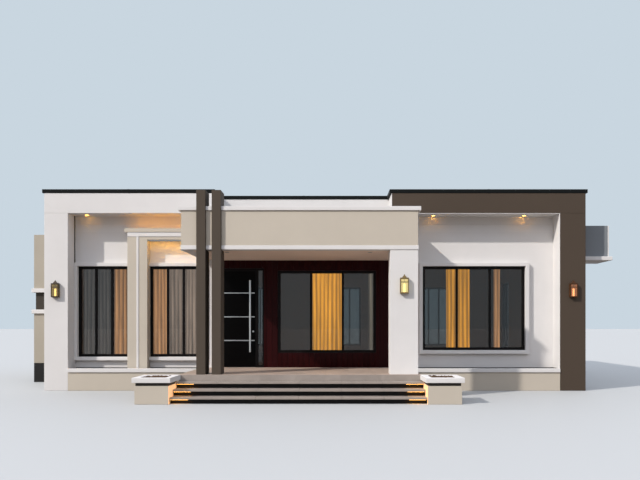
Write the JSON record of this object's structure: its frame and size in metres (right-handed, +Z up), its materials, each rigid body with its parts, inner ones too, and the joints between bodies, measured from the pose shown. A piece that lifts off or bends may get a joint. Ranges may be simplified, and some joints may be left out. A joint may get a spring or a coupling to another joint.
{
  "type": "bungalow",
  "caption": "Single-storey flat-roofed house with framed wings, a raised porch with twin fins, wide steps, planters, lanterns and a hinged front door.",
  "frame": {"origin": "on the ground under the outer face of the front wall, half way along the front", "axes": "+X to the right along the front seen from the street, +Y into the house, +Z up"},
  "size_m": [17.232, 14.24, 5.485],
  "materials": {
    "plinth_paint": "matt masonry paint",
    "floor_tile": "glazed tile",
    "step_stone": "honed stone",
    "beige_render": "painted render",
    "white_render": "painted render",
    "brown_render": "painted render",
    "grey_render": "painted render",
    "groove_paint": "matt masonry paint",
    "soil": "loose soil",
    "roof_concrete": "screeded concrete",
    "coping_metal": "coated sheet",
    "ceiling_board": "painted board",
    "maroon_cladding": "stained and oiled",
    "black_frame": "powder coat",
    "window_glass": "clear",
    "black_door": "satin lacquer",
    "brushed_trim": "brushed",
    "hinge_steel": "brushed",
    "curtain_cloth": "woven",
    "rail_metal": "satin",
    "lantern_metal": "satin",
    "lantern_glass": "frosted",
    "lamp_glass": "frosted"
  },
  "bodies": {
    "house": {"foundation_plinth": "plinth_paint", "floor_slab": "floor_tile", "porch_floor": "step_stone", "step_treads": "step_stone", "planter_walls": "beige_render", "planter_necks": "groove_paint", "planting_caps": "white_render", "planting_soil": "soil", "portal_pier": "beige_render", "portal_lintel": "beige_render", "portal_trim": "white_render", "front_wall_left": "white_render", "front_wall_right": "white_render", "porch_wall": "white_render", "door_head_wall": "white_render", "left_side_wall": "white_render", "right_side_wall": "white_render", "back_wall": "white_render", "bay_walls": "beige_render", "bay_ledges": "white_render", "roof_slabs": "roof_concrete", "left_frame_pillar": "white_render", "left_frame_beam": "white_render", "right_frame_pillar": "brown_render", "right_frame_beam": "brown_render", "right_frame_lining": "white_render", "parapet_walls": "white_render", "parapet_coping": "coping_metal", "porch_fascia": "beige_render", "edge_trims": "white_render", "porch_ceiling": "ceiling_board", "porch_column": "white_render", "entrance_fins": "brown_render", "side_canopy": "grey_render", "porch_cladding": "maroon_cladding", "window_frames": "black_frame", "window_glass": "window_glass", "window_surrounds": "white_render", "door_frame": "black_frame", "door_frame_hinges": "hinge_steel", "curtains": "curtain_cloth", "curtain_rails": "rail_metal", "wall_lanterns": "lantern_metal", "lantern_glass": "lantern_glass", "downlights": "lamp_glass"},
    "front_door": {"door_leaf": "black_door", "door_strips": "brushed_trim", "door_pull": "brushed_trim", "door_leaf_hinges": "hinge_steel"}
  },
  "joints": [
    {"name": "front_door_hinge", "type": "hinge", "parent": "house", "child": "front_door", "pos_m": [-2.65, 0.0793, 0.6], "axis": [0, 0, 1], "range_deg": [0, 90]}
  ]
}
